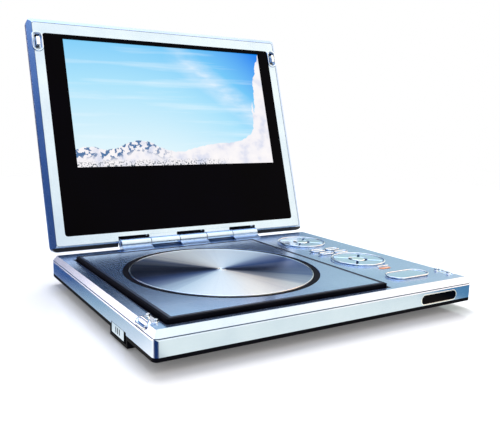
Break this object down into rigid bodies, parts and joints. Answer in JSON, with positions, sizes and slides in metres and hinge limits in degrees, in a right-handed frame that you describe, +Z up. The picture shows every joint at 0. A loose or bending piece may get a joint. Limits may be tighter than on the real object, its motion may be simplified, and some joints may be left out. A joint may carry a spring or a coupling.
{
  "type": "portable disc player",
  "caption": "Clamshell portable disc player: a low base with a raised square disc lid and key clusters, and a wide screen lid on a barrel hinge.",
  "frame": {"origin": "centre of the open object's footprint on the plane its rubber feet stand on", "axes": "+X to the viewer's right along the hinge, +Y from the front edge to the hinge and the leaning screen, +Z up"},
  "size_m": [0.1932, 0.2039, 0.1631],
  "materials": {
    "silver_paint": "satin metallic paint over moulded shells",
    "black_plastic": "fine-textured moulded black",
    "gloss_black": "polished piano black",
    "brushed_disc": "circular-brushed clear-anodised",
    "steel": "ground steel",
    "chrome_key": "bright metallised key cap",
    "silver_key": "painted key top with polished edge",
    "rubber": "matt",
    "lens_orange": "tinted clear lens",
    "lcd_image": "lit liquid-crystal picture",
    "board_green": "solder mask",
    "battery_wrap": "shrink wrap",
    "motor_metal": "plated can",
    "brass": "turned",
    "blue_lens": "coated moulded lens",
    "white_diffuser": "matt white",
    "dark_tray": "satin dark grey"
  },
  "bodies": {
    "base": {"base_top_cover": "silver_paint", "base_bottom_cover": "black_plastic", "rubber_feet": "rubber", "base_screws": "steel", "ir_window": "gloss_black", "catch_keepers": "chrome_key", "indicator_lens": "lens_orange", "disc_well": "dark_tray", "mech_chassis": "motor_metal", "guide_rods": "steel", "spindle_motor": "motor_metal", "sled_motor": "motor_metal", "main_board": "board_green", "key_board": "board_green", "battery_pack": "battery_wrap", "speakers": "black_plastic", "headphone_jacks": "black_plastic", "av_jack": "brass", "dc_inlet": "black_plastic", "disc_lid_pins": "steel", "hinge_base_knuckles": "silver_paint", "hinge_pin": "steel"},
    "screen": {"hinge_lid_knuckles": "silver_paint", "screen_bezel": "silver_paint", "screen_back_cover": "silver_paint", "screen_screws": "steel", "screen_mask": "gloss_black", "lcd_panel": "lcd_image", "backlight_tray": "white_diffuser", "backlight_lamp": "white_diffuser", "screen_board": "board_green"},
    "screen_catch_left": {"screen_catch_left": "chrome_key"},
    "screen_catch_right": {"screen_catch_right": "chrome_key"},
    "disc_lid": {"disc_lid_frame": "black_plastic", "disc_lid_plate": "silver_paint", "disc_lid_insert": "brushed_disc"},
    "lid_catch": {"lid_catch": "white_diffuser"},
    "turntable": {"turntable": "dark_tray", "chuck_balls": "steel", "spindle_shaft": "steel"},
    "pickup": {"pickup_sled": "black_plastic", "pickup_lens": "blue_lens"},
    "lead_screw": {"lead_screw": "brass"},
    "power_slider": {"power_slider": "silver_key"},
    "volume_dial": {"volume_dial": "black_plastic"},
    "nav_right": {"nav_right": "silver_key"},
    "nav_up": {"nav_up": "silver_key"},
    "nav_left": {"nav_left": "silver_key"},
    "nav_down": {"nav_down": "silver_key"},
    "nav_ok": {"nav_ok": "chrome_key"},
    "play_next": {"play_next": "silver_key"},
    "play_pause": {"play_pause": "silver_key"},
    "play_back": {"play_back": "silver_key"},
    "play_stop": {"play_stop": "silver_key"},
    "play_mode": {"play_mode": "chrome_key"},
    "setup_key": {"setup_key": "silver_key"},
    "display_key": {"display_key": "silver_key"},
    "menu_key": {"menu_key": "silver_key"},
    "audio_key": {"audio_key": "silver_key"},
    "open_key": {"open_key": "silver_key"}
  },
  "joints": [
    {"name": "screen_hinge", "type": "hinge", "parent": "base", "child": "screen", "pos_m": [0, 0.04823, 0.0209], "axis": [-1, 0, 0], "range_deg": [-108, 40]},
    {"name": "disc_lid_hinge", "type": "hinge", "parent": "base", "child": "disc_lid", "pos_m": [-0.0244, 0.03243, 0.0172], "axis": [-1, 0, 0], "range_deg": [0, 65]},
    {"name": "turntable_spin", "type": "hinge", "parent": "base", "child": "turntable", "pos_m": [-0.0244, -0.03237, 0.0134], "axis": [0, 0, 1], "continuous": true},
    {"name": "pickup_slide", "type": "slide", "parent": "base", "child": "pickup", "axis": [1, 0, 0], "range_m": [0, 0.034]},
    {"name": "lead_screw_spin", "type": "hinge", "parent": "base", "child": "lead_screw", "pos_m": [0.0156, -0.01837, 0.0072], "axis": [1, 0, 0], "continuous": true},
    {"name": "power_slide", "type": "slide", "parent": "base", "child": "power_slider", "axis": [0, -1, 0], "range_m": [0, 0.003]},
    {"name": "volume_turn", "type": "hinge", "parent": "base", "child": "volume_dial", "pos_m": [0.0881, -0.00637, 0.011], "axis": [0, 0, 1], "range_deg": [-140, 140]},
    {"name": "lid_catch_slide", "type": "slide", "parent": "base", "child": "lid_catch", "axis": [1, 0, 0], "range_m": [0, 0.001]},
    {"name": "left_catch_slide", "type": "slide", "parent": "screen", "child": "screen_catch_left", "axis": [0, 0.309, 0.9511], "range_m": [0, 0.001], "stiffness_N_per_m": 300},
    {"name": "right_catch_slide", "type": "slide", "parent": "screen", "child": "screen_catch_right", "axis": [0, 0.309, 0.9511], "range_m": [0, 0.001], "stiffness_N_per_m": 300},
    {"name": "nav_right_press", "type": "slide", "parent": "base", "child": "nav_right", "axis": [0, 0, -1], "range_m": [0, 0.0005], "stiffness_N_per_m": 400},
    {"name": "nav_up_press", "type": "slide", "parent": "base", "child": "nav_up", "axis": [0, 0, -1], "range_m": [0, 0.0005], "stiffness_N_per_m": 400},
    {"name": "nav_left_press", "type": "slide", "parent": "base", "child": "nav_left", "axis": [0, 0, -1], "range_m": [0, 0.0005], "stiffness_N_per_m": 400},
    {"name": "nav_down_press", "type": "slide", "parent": "base", "child": "nav_down", "axis": [0, 0, -1], "range_m": [0, 0.0005], "stiffness_N_per_m": 400},
    {"name": "nav_ok_press", "type": "slide", "parent": "base", "child": "nav_ok", "axis": [0, 0, -1], "range_m": [0, 0.0005], "stiffness_N_per_m": 400},
    {"name": "play_next_press", "type": "slide", "parent": "base", "child": "play_next", "axis": [0, 0, -1], "range_m": [0, 0.0005], "stiffness_N_per_m": 400},
    {"name": "play_pause_press", "type": "slide", "parent": "base", "child": "play_pause", "axis": [0, 0, -1], "range_m": [0, 0.0005], "stiffness_N_per_m": 400},
    {"name": "play_back_press", "type": "slide", "parent": "base", "child": "play_back", "axis": [0, 0, -1], "range_m": [0, 0.0005], "stiffness_N_per_m": 400},
    {"name": "play_stop_press", "type": "slide", "parent": "base", "child": "play_stop", "axis": [0, 0, -1], "range_m": [0, 0.0005], "stiffness_N_per_m": 400},
    {"name": "play_mode_press", "type": "slide", "parent": "base", "child": "play_mode", "axis": [0, 0, -1], "range_m": [0, 0.0005], "stiffness_N_per_m": 400},
    {"name": "setup_key_press", "type": "slide", "parent": "base", "child": "setup_key", "axis": [0, 0, -1], "range_m": [0, 0.0005], "stiffness_N_per_m": 400},
    {"name": "display_key_press", "type": "slide", "parent": "base", "child": "display_key", "axis": [0, 0, -1], "range_m": [0, 0.0005], "stiffness_N_per_m": 400},
    {"name": "menu_key_press", "type": "slide", "parent": "base", "child": "menu_key", "axis": [0, 0, -1], "range_m": [0, 0.0005], "stiffness_N_per_m": 400},
    {"name": "audio_key_press", "type": "slide", "parent": "base", "child": "audio_key", "axis": [0, 0, -1], "range_m": [0, 0.0005], "stiffness_N_per_m": 400},
    {"name": "open_key_press", "type": "slide", "parent": "base", "child": "open_key", "axis": [0, 0, -1], "range_m": [0, 0.0005], "stiffness_N_per_m": 400}
  ],
  "couplings": [
    {"joint": "lead_screw_spin", "follows": "pickup_slide", "rad_per_m": 2513.3},
    {"joint": "lid_catch_slide", "follows": "open_key_press", "ratio": 2}
  ]
}
